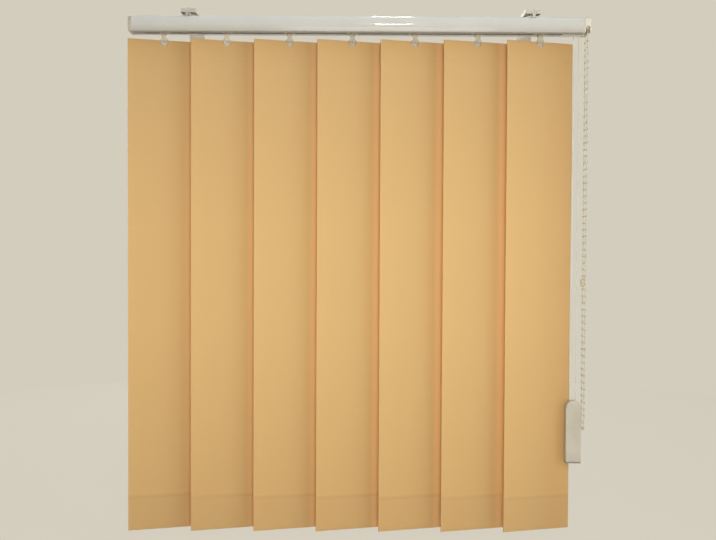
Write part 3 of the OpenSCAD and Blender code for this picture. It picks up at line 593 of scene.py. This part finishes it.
THREAD_SHARE, LAST_VANE_X = 0.18, 0.30
vane_cloth, tree, surface = new_material("vane_cloth", 0.85)
warp = texture_on(tree, "ShaderNodeTexWave", source="UV", Scale=430.0, Distortion=0.6, Detail=1.0)
weft = texture_on(tree, "ShaderNodeTexWave", source="UV", Scale=430.0, Distortion=0.6, Detail=1.0)
weft.bands_direction = "Y"
slub = texture_on(tree, "ShaderNodeTexNoise", source="UV", stretch=(900, 14, 1), Scale=1.0, Detail=4.0)
pick_row = texture_on(tree, "ShaderNodeTexNoise", source="UV", stretch=(14, 900, 1), Scale=1.0, Detail=4.0)
threads = maths(tree, "MAXIMUM", warp.outputs["Fac"], weft.outputs["Fac"])
streak = maths(tree, "ADD", slub.outputs["Fac"], pick_row.outputs["Fac"])
woven = maths(tree, "MULTIPLY_ADD", threads, THREAD_SHARE, streak)
cloth_colour = tones(tree, woven, [(0.6, (0.700, 0.448, 0.184)), (1.0, (0.745, 0.484, 0.204))])
hem_at, top_at = HEM / VANE_L, 1 - TOP_HEM / VANE_L
# Along the vane: a dark band at the sealed hem line, a painted highlight on the strip just above it, and
# painted shade darkening the cloth towards the foot and towards the top under the rail.
hem_line_and_painted_shade = tones(tree, level_along(tree, "Z", VANE_FOOT, VANE_TOP), [
    (0.0, (0.87, 0.86, 0.85)), (hem_at - 0.0034, (0.885, 0.875, 0.865)),
    (hem_at - 0.0012, (0.835, 0.815, 0.79)), (hem_at + 0.0006, (0.835, 0.815, 0.79)),
    (hem_at + 0.0038, (0.955, 0.95, 0.935)), (hem_at + 0.012, (0.925, 0.92, 0.90)),
    (0.42, (1, 1, 1)), (0.62, (1, 1, 1)), (top_at - 0.02, (0.905, 0.91, 0.92)),
    (top_at + 0.01, (0.88, 0.875, 0.865)), (1.0, (0.83, 0.79, 0.74))])
hemmed_and_shaded = mixed(tree, 1.0, cloth_colour, hem_line_and_painted_shade, "MULTIPLY")
# Across the vane, on the front: painted shade from the left edge to the right, and painted light on the
# shaded right margin of every vane but the last.
across = level_along(tree, "X", -VANE_W / 2, VANE_W / 2, source="UV")
painted_shade_across = tones(tree, across, [
    (0.0, (1.0, 1.0, 1.0)), (0.45, (0.945, 0.95, 0.955)), (0.62, (0.905, 0.905, 0.91)),
    (0.78, (0.895, 0.87, 0.85)), (1.0, (0.895, 0.865, 0.84))])
painted_light_on_margin = tones(tree, across, [(0.79, (1, 1, 1)), (0.87, (1.20, 1.12, 1.16))])
on_front = maths(tree, "LESS_THAN", place_on(tree, "Y", source="Normal"), 0.0)
shaded_across = mixed(tree, on_front, hemmed_and_shaded, painted_shade_across, "MULTIPLY")
before_last = maths(tree, "LESS_THAN", place_on(tree, "X"), LAST_VANE_X)
lit_margin_mask = maths(tree, "MULTIPLY", before_last, on_front)
tree.links.new(mixed(tree, lit_margin_mask, shaded_across, painted_light_on_margin, "MULTIPLY"), surface.inputs["Base Color"])
surface.inputs["Sheen Weight"].default_value = 0.15
surface.inputs["Sheen Roughness"].default_value = 0.5
surface.inputs["Specular IOR Level"].default_value = 0.25
relief(tree, surface, woven, 0.35, 0.00025)

# seven copies, each with its own slight waves between the stiff ends
BOW, WAVE, WAVE_SKEW, ROUND = 0.0006, 0.00018, 0.00022, 6.28
STIFF_TOP, STIFF_FOOT, EASE_TOP, EASE_FOOT = 0.06, 0.91, 0.15, 0.12
draw = random.Random(7)
for n in range(1, 8):
    vane = bpy.data.objects.new("vane_cloth_%d" % n, cloth.data.copy())
    scene.collection.objects.link(vane)
    draw.uniform(-1, 1)  # one draw is passed over, which keeps the waves as they are
    waves = [(draw.uniform(2.0, 5.0), draw.uniform(0, ROUND), draw.uniform(-1, 1)) for k in range(3)]
    for v in vane.data.vertices:
        u = v.co.x / (VANE_W / 2)
        down = (VANE_TOP - v.co.z) / VANE_L
        below_top = max(0.0, min(1.0, (down - STIFF_TOP) / EASE_TOP))
        above_foot = max(0.0, min(1.0, (STIFF_FOOT - down) / EASE_FOOT))
        sway = sum(math.sin(f * ROUND * down / 3 + phase) * (WAVE + WAVE_SKEW * skew * u)
                   for f, phase, skew in waves)
        v.co.y += below_top * above_foot * (-BOW * (1 - u * u) + sway)
    hung = Matrix.Translation((FIRST_X + VANE_PITCH * (n - 1), STEM_Y, 0)) @ Matrix.Rotation(TILT, 4, "Z")
    vane.data.transform(hung)
    vane.data.materials.append(vane_cloth)
    deselect()
    vane.select_set(True)
    bpy.context.view_layer.objects.active = vane
    bpy.ops.object.shade_smooth_by_angle(angle=math.radians(40))
    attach(vane, "leaf_%d" % n)
    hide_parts("vane_%d" % n)
bpy.data.objects.remove(cloth)

# Cord weight: a hollow moulded weight with a round head and soft edges, shut by a foot plate.
# The two cord strands go in at the top and are knotted inside. Its lowest few millimetres are painted
# darker, painted shade along the foot.
WEIGHT_W, WEIGHT_H, WEIGHT_T = 0.027, 0.114, 0.013
EDGE_R, SEAM_LOW, SEAM_HIGH, SEAM_IN = 0.0028, 0.007, 0.008, 0.0006
head_z = WEIGHT_TOP - WEIGHT_W / 2
foot_z = WEIGHT_TOP - WEIGHT_H
deselect()
bpy.ops.mesh.primitive_cylinder_add(vertices=64, radius=WEIGHT_W / 2, depth=WEIGHT_T,
                                    location=(HANG_X, HANG_Y, head_z), rotation=(math.pi / 2, 0, 0))
weight = bpy.context.object
bpy.ops.object.transform_apply(location=True, rotation=True, scale=True)
pick(weight, lambda p: p.z < head_z - NEAR)
bpy.ops.transform.resize(value=(1, 1, 0), center_override=(HANG_X, HANG_Y, head_z))
bpy.ops.transform.translate(value=(0, 0, foot_z - head_z))
bpy.ops.object.mode_set(mode="OBJECT")
apply_modifier(weight, "BEVEL", width=EDGE_R, segments=5, limit_method="ANGLE", angle_limit=math.radians(40))
for z in (foot_z + SEAM_LOW, foot_z + SEAM_HIGH):
    pick(weight, lambda p: True)
    bpy.ops.mesh.bisect(plane_co=(0, 0, z), plane_no=(0, 0, 1))
pick(weight, lambda p: foot_z + SEAM_LOW + NEAR < p.z < foot_z + SEAM_HIGH - NEAR, "FACE")
bpy.ops.mesh.extrude_region_shrink_fatten(TRANSFORM_OT_shrink_fatten={"value": -SEAM_IN})
bpy.ops.object.mode_set(mode="OBJECT")
weight.name = "cord_weight_moulding"
bpy.ops.object.shade_smooth_by_angle(angle=math.radians(35))
weight_plastic, tree, surface = new_material("weight_plastic", 0.4)
moulded = texture_on(tree, "ShaderNodeTexNoise", Scale=420.0, Detail=2.0)
aged = texture_on(tree, "ShaderNodeTexNoise", Scale=40.0, Detail=3.0)
ivory = tones(tree, aged.outputs["Fac"], [(0.3, (0.53, 0.49, 0.40)), (0.7, (0.59, 0.55, 0.455))])
# painted shade along the foot
painted_foot_shade = tones(tree, level_along(tree, "Z", foot_z, WEIGHT_TOP),
                   [(0.022, (0.50, 0.49, 0.46)), (0.032, (1, 1, 1))])
tree.links.new(mixed(tree, 1.0, ivory, painted_foot_shade, "MULTIPLY"), surface.inputs["Base Color"])
relief(tree, surface, moulded.outputs["Fac"], 0.1, 0.0001)
weight.data.materials.append(weight_plastic)
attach(weight, "rail")
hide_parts("cord_weight")

# Stage: a plain pale floor just under the hanging vanes, and a pale surround of the same tone.
# The floor is not part of the object. Most of its tone is a glow that only seeing rays meet.
FLOOR_R, FLOOR_Z, GLOW_SHARE = 2.0, -0.93, 0.88
deselect()
bpy.ops.mesh.primitive_circle_add(vertices=64, radius=FLOOR_R, fill_type="NGON", location=(0, 0, FLOOR_Z))
floor = bpy.context.object
floor.name = "studio_floor"
floor_paint, tree, surface = new_material("floor_paint", 0.9)
wash = texture_on(tree, "ShaderNodeTexNoise", Scale=3.0, Detail=2.0)
tree.links.new(tones(tree, wash.outputs["Fac"], [(0.3, (0.64, 0.60, 0.51)), (0.7, (0.67, 0.63, 0.54))]),
               surface.inputs["Base Color"])
glow = tree.nodes.new("ShaderNodeEmission")
glow.inputs["Color"].default_value = (0.69, 0.645, 0.545, 1)


def seen_rays(tree):
    """1 for rays that see the backdrop: camera, glossy and transmission rays."""
    rays = tree.nodes.new("ShaderNodeLightPath")
    seen = rays.outputs["Is Camera Ray"]
    for kind in ("Is Glossy Ray", "Is Transmission Ray"):
        seen = maths(tree, "MAXIMUM", seen, rays.outputs[kind])
    return seen


lit = tree.nodes.new("ShaderNodeMixShader")
tree.links.new(maths(tree, "MULTIPLY", seen_rays(tree), GLOW_SHARE), lit.inputs[0])
tree.links.new(surface.outputs[0], lit.inputs[1])
tree.links.new(glow.outputs[0], lit.inputs[2])
tree.links.new(lit.outputs[0], tree.nodes["Material Output"].inputs["Surface"])
floor.data.materials.append(floor_paint)

world = bpy.data.worlds.new("studio_surround")
scene.world = world
world.use_nodes = True
sky = world.node_tree
ambient = sky.nodes["Background"]
ambient.inputs["Color"].default_value = (1.0, 0.98, 0.95, 1)
ambient.inputs["Strength"].default_value = 0.18
pale = sky.nodes.new("ShaderNodeBackground")
pale.inputs["Color"].default_value = (0.65, 0.61, 0.515, 1)
chosen = sky.nodes.new("ShaderNodeMixShader")
sky.links.new(seen_rays(sky), chosen.inputs[0])
sky.links.new(ambient.outputs[0], chosen.inputs[1])
sky.links.new(pale.outputs[0], chosen.inputs[2])
sky.links.new(chosen.outputs[0], sky.nodes["World Output"].inputs["Surface"])


# Lamps: a broad soft light from the right front, a weaker one from the left, one by the camera that
# lights the middle, a small one higher up that puts the gloss on the rail, and soft ones behind and above.
LAMPS_AIM = Vector((0.0, -0.08, -0.40))


def studio_lamp(name, place, size, power, tint):
    """A square soft lamp, turned to the middle of the blind."""
    data = bpy.data.lights.new(name, "AREA")
    data.shape = "SQUARE"
    data.size = size
    data.energy = power
    data.color = tint
    lamp = bpy.data.objects.new(name, data)
    scene.collection.objects.link(lamp)
    lamp.location = place
    lamp.rotation_euler = (LAMPS_AIM - Vector(place)).to_track_quat("-Z", "Y").to_euler()


studio_lamp("key_light", (1.60, -1.30, -0.16), 1.3, 8.0, (1.0, 0.98, 0.95))
studio_lamp("fill_light", (-1.20, -1.80, -0.30), 0.9, 1.4, (1.0, 0.99, 0.98))
studio_lamp("front_light", (0.10, -1.52, -0.42), 0.75, 10.1, (1.0, 0.99, 0.97))
studio_lamp("gloss_light", (0.118, -1.55, 0.41), 0.13, 4.2, (1.0, 1.0, 1.0))
studio_lamp("back_light", (-0.4, 1.9, 0.5), 1.4, 24.0, (1.0, 0.99, 0.97))
studio_lamp("top_light", (0.0, 0.10, 1.30), 1.2, 6.0, (1.0, 0.99, 0.97))
